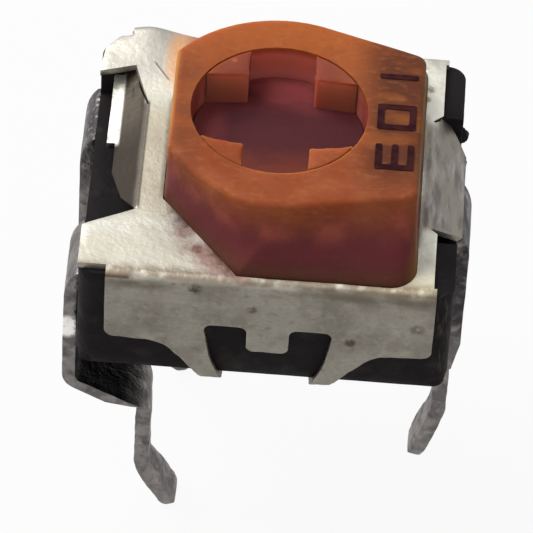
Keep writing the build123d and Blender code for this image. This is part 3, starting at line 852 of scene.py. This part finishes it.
@dataclass
class BaseMoulding:
    """Black base that holds the ceramic element and the leads."""

    edge_mm: float = 0.02
    foot_spread: Place = (2.47 / 2.41, 2.17 / 2.11, 1.0)
    foot_drop_mm: float = 0.06
    grid_mm: float = 0.20
    wobble_size_mm: float = 0.6
    wobble_mm: float = 0.010
    flash_swelling_mm: float = 0.10
    flash_wobble_mm: float = 0.08
    flash: tuple[tuple[Place, Place], ...] = (
        ((2.47, 1.36, 4.92), (0.130, 0.13, 0.10)),
        ((2.46, 0.80, 4.93), (0.120, 0.13, 0.11)),
        ((2.45, 1.08, 4.90), (0.060, 0.20, 0.08)),
    )

    def build(self) -> None:
        """Sharpens the base's bottom edge, softens the others and adds its flash."""
        body = Bench.copy_node("base_body", "base_moulding")
        Bench.widen(body, self.foot_spread, lambda at: at.z < BASE_FOOT + NEAR_MM)
        Bench.push(body, "Z", -self.foot_drop_mm, lambda at: float(at.z < BASE_FOOT + NEAR_MM))
        Bench.round_edges(body, self.edge_mm)
        Bench.cut_grid(body, self.grid_mm)
        Bench.ripple(body, self.wobble_size_mm, self.wobble_mm)
        Bench.hand_over(body, BLACK, "body", "black_moulding", "base_body")
        for number, (middle, half) in enumerate(self.flash, 1):
            self.add_flash(number, middle, half)

    def add_flash(self, number: int, middle: Place, half: Place) -> None:
        """Adds one lump of moulding flash on the right side.

        Args:
            number: Its number.
            middle: Its place.
            half: Half of its size along each axis.
        """
        bpy.ops.mesh.primitive_ico_sphere_add(subdivisions=4, radius=1.0)
        lump = bpy.context.object
        lump.name = f"moulding_flash_{number}"
        Bench.edit(lump)
        bpy.ops.mesh.select_all(action="SELECT")
        bpy.ops.transform.resize(value=half)
        bpy.ops.transform.translate(value=middle)
        Bench.done()
        Bench.ripple(lump, self.flash_swelling_mm, self.flash_wobble_mm)
        Bench.hand_over(lump, BLACK, "body", "black_moulding")


@dataclass
class Element:
    """Ceramic element inside the base: substrate, films, and the solder on the leads' tabs."""

    def build(self) -> None:
        """Dresses the nodes of the element, which keep their own meshes."""
        for finish, *nodes in (
                (CERAMIC, "ceramic_substrate"), (CERMET, "resistive_track"),
                (CONDUCTOR, "track_end_pad_front", "track_end_pad_back", "collector_conductor"),
                (SOLDER, "solder_joint_front_left", "solder_joint_back_left",
                 "solder_joint_right")):
            for node in nodes:
                Bench.dress_node(node, finish)


class Lead(Enum):
    """The three leads, by the name of their node."""

    FRONT_LEFT = "terminal_front_left"
    BACK_LEFT = "terminal_back_left"
    RIGHT = "terminal_right"


@dataclass
class Leads:
    """Formed leads, wetted with solder low down."""

    edge_mm: float = 0.02
    grid_mm: float = 0.07
    pin_top_mm: float = 2.35
    swelling_mm: float = 0.22
    swell_mm: float = 0.03
    foot_mm: float = 0.95
    foot_rounding: int = 18
    step_mm: Pair = (2.15, 2.95)
    step_fade_mm: float = 1 / 6
    step_rounding: int = 6
    left_foot_back_mm: float = 0.10
    right_foot_back_mm: float = 0.17
    shoulder_rise_mm: float = 0.17
    step_fall_mm: float = 0.13
    foot_spread_mm: float = 0.07
    wobble_size_mm: float = 0.4
    wobble_mm: float = 0.014

    def build(self) -> None:
        """Builds each lead from its node."""
        for lead in Lead:
            self.build_lead(lead)

    def build_lead(self, lead: Lead) -> None:
        """Rounds a lead's sheared edges, sets its bends and gives its pin a thin uneven coat.

        Args:
            lead: Which lead.
        """
        strip = Bench.copy_node(lead.value, f"{lead.value}_strip")
        Bench.round_edges(strip, self.edge_mm)
        Bench.cut_grid(strip, self.grid_mm)
        Bench.ease(strip, self.foot_rounding, lambda at: fade(at.z, 1.2, 0.6))
        low, high = self.step_mm
        Bench.ease(strip, self.step_rounding, lambda at: min(
            fade(at.z, low, low + self.step_fade_mm), fade(at.z, high, high - self.step_fade_mm)))
        back = self.right_foot_back_mm if lead is Lead.RIGHT else -self.left_foot_back_mm
        Bench.push(strip, "X", back, lambda at: fade(at.z, self.foot_mm, 0.0))
        self.flatten_foot(strip)
        if lead is not Lead.RIGHT:
            Bench.push(strip, "Z", -self.step_fall_mm, lambda at: min(
                fade(at.x, -2.55, -1.75), fade(at.z, 0.0, self.pin_top_mm), fade(at.z, 3.2, 3.1)))
        Bench.push(strip, "Z", self.shoulder_rise_mm,
                   lambda at: min(fade(abs(at.x), 2.44, 2.54), fade(at.z, 4.5, 4.85)))
        pin = Bench.weigh(strip, "pin", lambda at: min(
            fade(at.z, self.pin_top_mm, 0.75 * self.pin_top_mm),
            fade(at.z, 0.0, 2 * self.swell_mm)))
        Bench.ripple(strip, self.swelling_mm, self.swell_mm, group=pin, middle=0.1)
        Bench.ripple(strip, self.wobble_size_mm, self.wobble_mm)
        Bench.hand_over(strip, TIN_STRIP, "body", "tinned_lead", lead.value, smooth_angle=50)

    def flatten_foot(self, strip: Piece) -> None:
        """Spreads a lead's foot to both sides.

        Args:
            strip: The lead, in millimetres.
        """
        middle = sum(vertex.co.y for vertex in strip.data.vertices) / len(strip.data.vertices)
        for side in (-1, 1):
            Bench.push(strip, "Y", side * self.foot_spread_mm, lambda at: min(
                fade(side * (at.y - middle), 0.0, 0.2), fade(at.z, 0.0, 0.2),
                fade(at.z, 0.85, 0.55)))


@dataclass
class SheetCover:
    """Folded tinned cover, crimped over the base."""

    edge_mm: float = 0.016
    grid_mm: float = 0.12
    dent_size_mm: float = 0.7
    dent_mm: float = 0.018
    burr_size_mm: float = 0.12
    burr_mm: float = 0.02
    lift_mm: float = 0.27
    lifted_place: Pair = (-1.85, 2.40)
    lift_reach_mm: float = 1.4
    corner_in_mm: float = 0.04
    left_tongue_mm: float = 0.22
    right_tongue_mm: float = 0.12
    notch_place: Place = (-2.2, 2.22, PLATE_TOP - 0.05)
    notch_rounding: int = 12
    window_corner_mm: float = 0.25
    window_rounding: int = 4
    claw_rounding: int = 12
    claw_drop_mm: float = 0.04

    def build(self) -> None:
        """Rounds the sheared edges and claws, dents the sheet and bends its back left part up."""
        sheet = Bench.copy_node("metal_cover", "sheet_cover")
        Bench.round_edges(sheet, self.edge_mm)
        Bench.cut_grid(sheet, self.grid_mm)
        under = PLATE_TOP - 0.13
        Bench.push(sheet, "Y", self.left_tongue_mm, lambda at: min(
            fade(at.y, 1.0, 1.5), fade(at.y, 2.0, 1.95), fade(at.x, -1.85, -1.90),
            fade(at.z, PLATE_TOP - 0.10, PLATE_TOP - 0.14), fade(at.z, 4.9, 4.95)))
        Bench.push(sheet, "Y", self.right_tongue_mm, lambda at: min(
            fade(at.y, 0.5, 0.9), fade(at.y, 1.5, 1.45), fade(at.x, 2.06, 2.10),
            fade(at.z, PLATE_TOP - 0.06, PLATE_TOP - 0.10), fade(at.z, 4.8, 4.85)))
        notch = Vector(self.notch_place)
        Bench.ease(sheet, self.notch_rounding, lambda at: fade((at - notch).length, 0.36, 0.16))
        Bench.push(sheet, "X", self.corner_in_mm, lambda at: min(
            fade(at.x, -1.9, -2.3), fade(at.y, 1.6, 1.9), fade(at.z, under, under + 0.02)))
        Bench.push(sheet, "Y", self.window_corner_mm, lambda at: min(
            fade(at.x, Housing.facet_start_mm, Housing.facet_end_mm), fade(at.y, 0.3, -0.9),
            fade(at.x + at.y, -3.40, -2.55), fade(at.x, -1.75, -1.50), fade(at.y, -2.14, -2.04),
            fade(at.z, under, under + 0.02)))
        Bench.ease(sheet, self.window_rounding, lambda at: min(
            fade(at.z, 4.80, 4.70), fade(abs(at.y), 2.05, 2.10)))
        Bench.ease(sheet, self.claw_rounding, lambda at: fade(at.z, 4.05, 3.95))
        Bench.push(sheet, "Z", -self.claw_drop_mm, lambda at: fade(at.z, 4.05, 3.75))
        Bench.ripple(sheet, self.dent_size_mm, self.dent_mm)
        cut_edges = Bench.weigh(
            sheet, "cut edges", lambda at: fade(at.z, PLATE_TOP - 0.9, PLATE_TOP - 1.1))
        Bench.ripple(sheet, self.burr_size_mm, self.burr_mm, group=cut_edges)
        middle = Vector(self.lifted_place)
        Bench.push(sheet, "Z", self.lift_mm, lambda at: max(
            0.0, fade((at.xy - middle).length, self.lift_reach_mm, 0.0)) ** 2)
        Bench.hand_over(sheet, TIN_SHEET, "body", "tinned_sheet", "metal_cover")


class Digit(Enum):
    """Digits as inked cells (column, row) of a three by five grid, row 0 at the digit's foot."""

    ONE = frozenset((0, row) for row in range(5))
    NOUGHT = frozenset((column, row) for column in range(3) for row in range(5)
                       if column != 1 or row in (0, 4))
    THREE = frozenset((column, row) for column in range(3) for row in range(5)
                      if column == 2 or row in (0, 2, 4))


@dataclass
class Marking:
    """Three printed digits beside the rotor, their tops towards +X, read towards -Y."""

    foot_x_mm: float = 1.31
    height_mm: float = 0.52
    width_mm: float = 0.47
    stroke_mm: float = 0.092
    ink_mm: float = 0.010
    ink_lift: float = 0.6       # of the ink's middle above the housing, in thicknesses
    corner_mm: float = 0.03
    digits: tuple[tuple[Digit, float], ...] = (
        (Digit.ONE, 0.83), (Digit.NOUGHT, 0.25), (Digit.THREE, -0.50))

    def build(self) -> None:
        """Prints every digit on the housing's top."""
        for number, (digit, start_y) in enumerate(self.digits, 1):
            self.print_digit(f"marking_digit_{number}", digit, start_y)

    def print_digit(self, name: str, digit: Digit, start_y: float) -> None:
        """Cuts one digit out of a sheet, rounds its corners and gives the ink its thickness.

        Args:
            name: Name of the piece.
            digit: The digit.
            start_y: Where its left side is.
        """
        middle = self.height_mm / 2
        half = self.stroke_mm / 2
        columns = [self.stroke_mm, self.width_mm - self.stroke_mm]
        rows = [self.stroke_mm, middle - half, middle + half, self.height_mm - self.stroke_mm]
        bpy.ops.mesh.primitive_plane_add(size=1.0)
        piece = bpy.context.object
        piece.name = name
        Bench.edit(piece)
        bpy.ops.mesh.select_all(action="SELECT")
        bpy.ops.transform.resize(value=(self.height_mm, self.width_mm, 1.0))
        bpy.ops.transform.translate(value=(
            self.foot_x_mm + middle, start_y - self.width_mm / 2,
            CROWN + self.ink_lift * self.ink_mm))
        cuts = [((start_y - column) * Vector(Y), Vector(Y)) for column in columns]
        cuts += [((self.foot_x_mm + row) * Vector(X), Vector(X)) for row in rows]
        for spot, normal in cuts:
            bpy.ops.mesh.select_all(action="SELECT")
            bpy.ops.mesh.bisect(plane_co=spot, plane_no=normal)
        bpy.ops.mesh.select_all(action="DESELECT")
        Bench.pick(piece, lambda at: (
            sum(start_y - at.y > column for column in columns),
            sum(at.x - self.foot_x_mm > row for row in rows)) not in digit.value)
        bpy.ops.mesh.delete(type="FACE")
        bpy.ops.mesh.select_all(action="SELECT")
        bpy.ops.mesh.dissolve_limited(angle_limit=math.radians(FLAT_ANGLE))
        bpy.ops.mesh.bevel(offset=self.corner_mm, segments=4, affect="VERTICES")
        Bench.done()
        Bench.apply(piece, "SOLIDIFY", thickness=self.ink_mm, offset=0.0)
        Bench.hand_over(piece, INK, "body", "amber_moulding")


@dataclass
class Housing:
    """Amber housing with its printed marking."""

    mouth_mm: float = 1.205
    bore_mm: float = 1.19
    kept_ring_mm: float = 0.05
    grid_mm: float = 0.11
    wobble_size_mm: float = 0.8
    wobble_mm: float = 0.008
    corner_back_mm: float = 0.25
    facet_start_mm: float = -0.38
    facet_end_mm: float = -1.44
    front_rounding: int = 16
    edge_rounding: int = 3
    foot_lap_mm: float = 0.026

    def build(self) -> None:
        """Softens the moulded housing and prints its marking."""
        block = Bench.copy_node("rotor_housing", "housing_block")
        narrow = self.bore_mm / self.mouth_mm
        Bench.widen(block, (narrow, narrow, 1.0),
                    lambda at: at.z > CROWN - TOP_MM and at.xy.length < self.mouth_mm + 0.02)
        Bench.cut_grid(block, self.grid_mm)
        near = self.bore_mm + self.kept_ring_mm
        Bench.push(block, "Y", self.corner_back_mm, lambda at: min(
            fade(at.x, self.facet_start_mm, self.facet_end_mm), fade(at.y, 0.3, -0.9),
            fade(at.xy.length, near, near + 0.2), fade(at.z, PLATE_TOP - 0.08, PLATE_TOP - 0.05)))
        Bench.ease(block, self.front_rounding, lambda at: min(
            fade(at.y, -0.55, -0.85), fade(at.x, 1.75, 1.45),
            fade(at.xy.length, near + 0.03, near + 0.23),
            fade(at.z, PLATE_TOP - 0.04, PLATE_TOP + 0.01)))
        Bench.ease(block, self.edge_rounding, lambda at: min(
            fade(at.x, 1.85, 1.75), fade(at.xy.length, near, near + 0.1),
            fade(at.z, PLATE_TOP - 0.04, PLATE_TOP + 0.01)))
        Bench.push(block, "NORMAL", self.foot_lap_mm, lambda at: min(
            fade(at.z, PLATE_TOP + 0.12, PLATE_TOP + 0.04), fade(at.xy.length, near, near + 0.1),
            fade(at.z, PLATE_TOP - 0.09, PLATE_TOP - 0.06)))
        away = Bench.weigh(block, "away from the bore",
                           lambda at: fade(at.xy.length, near - 0.03, near + 0.17))
        Bench.ripple(block, self.wobble_size_mm, self.wobble_mm, group=away)
        Bench.hand_over(block, AMBER, "body", "amber_moulding", "rotor_housing", smooth_angle=50)
        Marking().build()


@dataclass
class TurningParts:
    """Slotted rotor, with the spring under it and the ring that seals it."""

    grid_mm: float = 0.07
    recess_rounding: int = 8
    rim_mm: float = 1.12
    radius_mm: float = 1.17
    closed_radius_mm: float = 1.189

    def build(self) -> None:
        """Closes the rotor's rim to the bore, softens its recess, and dresses spring and ring."""
        rotor = Bench.copy_node("rotor", "slotted_rotor")
        spread = self.closed_radius_mm / self.radius_mm
        Bench.widen(rotor, (spread, spread, 1.0),
                    lambda at: at.z > CROWN - TOP_MM and at.xy.length > self.radius_mm - NEAR_MM)
        Bench.cut_grid(rotor, self.grid_mm)
        Bench.ease(rotor, self.recess_rounding, lambda at: min(
            fade(at.xy.length, self.rim_mm, self.rim_mm - 0.08),
            fade(at.z, CROWN - 0.45, CROWN - 0.35)))
        Bench.hand_over(rotor, AMBER_ROTOR, "rotor", "amber_moulding", "rotor")
        Bench.apply(rotor, "WEIGHTED_NORMAL", keep_sharp=True)
        Bench.dress_node("wiper_spring", SPRING)
        Bench.dress_node("o_ring", SILICONE)


# Studio


@dataclass
class Studio:
    """Floor, soft light and the photograph's camera."""

    azimuth: float = 0.92
    elevation: float = 45.78
    roll: float = 3.63
    distance_mm: float = 71.12
    target_above_base_mm: float = 1.0
    focal_pixels: float = 5236.6
    aim_right: float = -0.001341
    aim_up: float = -0.011997
    sensor_mm: float = 36.0
    clip_m: Pair = (0.001, 10.0)
    floor_m: float = 0.6
    key_place_m: Place = (-0.12, 0.05, 0.18)
    key_side_m: float = 0.14
    key_watts: float = 0.5
    sky: float = 0.5

    def build(self) -> None:
        """Sets the stage."""
        bpy.ops.mesh.primitive_plane_add(size=self.floor_m)
        floor = bpy.context.object
        floor.name = "floor"
        floor.data.materials.append(FLOOR.material())
        self.hang_lamp()
        self.light_sky()
        self.set_camera()
        bpy.context.scene.view_settings.view_transform = "Standard"

    def hang_lamp(self) -> None:
        """Hangs the square key lamp, which faces the object."""
        bpy.ops.object.light_add(type="AREA", location=self.key_place_m)
        lamp = bpy.context.object
        lamp.name = "key"
        lamp.data.size = self.key_side_m
        lamp.data.energy = self.key_watts
        lamp.rotation_euler = Vector(self.key_place_m).to_track_quat("Z", "Y").to_euler()

    def light_sky(self) -> None:
        """Fills from an even pale sky that is white where it is seen."""
        world = bpy.data.worlds.new("pale studio")
        world.use_nodes = True
        tree = world.node_tree
        tree.nodes.clear()
        strength = add_node(tree, "ShaderNodeMapRange", {
            "Value": seen_rays(tree), "To Min": self.sky, "To Max": 1.0}).outputs[0]
        sky = add_node(tree, "ShaderNodeBackground", {"Color": (1, 1, 1, 1), "Strength": strength})
        add_node(tree, "ShaderNodeOutputWorld", {"Surface": sky.outputs[0]})
        bpy.context.scene.world = world

    def set_camera(self) -> None:
        """Puts the camera at the photograph's view."""
        turn, rise, roll = (math.radians(a) for a in (self.azimuth, self.elevation, self.roll))
        back = Vector((math.sin(turn) * math.cos(rise), -math.cos(turn) * math.cos(rise),
                       math.sin(rise)))
        level = Vector((math.cos(turn), math.sin(turn), 0))
        upright = back.cross(level)
        right = math.cos(roll) * level + math.sin(roll) * upright
        up = math.cos(roll) * upright - math.sin(roll) * level
        target = Vector((0, 0, BASE_FOOT + self.target_above_base_mm))
        facing = (back - self.aim_right * right - self.aim_up * up).normalized()
        side = up.cross(facing).normalized()
        bpy.ops.object.camera_add()
        camera = bpy.context.object
        camera.name = "photo_view"
        camera.matrix_world = Matrix.Translation((target + back * self.distance_mm) * MM) @ Matrix(
            (side, facing.cross(side), facing)).transposed().to_4x4()
        camera.data.sensor_width = self.sensor_mm
        camera.data.lens = self.focal_pixels * self.sensor_mm / PHOTO_PIXELS
        camera.data.clip_start, camera.data.clip_end = self.clip_m
        bpy.context.scene.camera = camera


def main() -> None:
    """Builds every sub-assembly."""
    logging.basicConfig(level=logging.INFO, format="%(name)s: %(message)s")
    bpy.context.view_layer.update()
    for part in (BaseMoulding(), Element(), Leads(), SheetCover(), Housing(), TurningParts(),
                 Studio()):
        log.info("building %s", type(part).__name__)
        part.build()


if __name__ == "__main__":
    main()
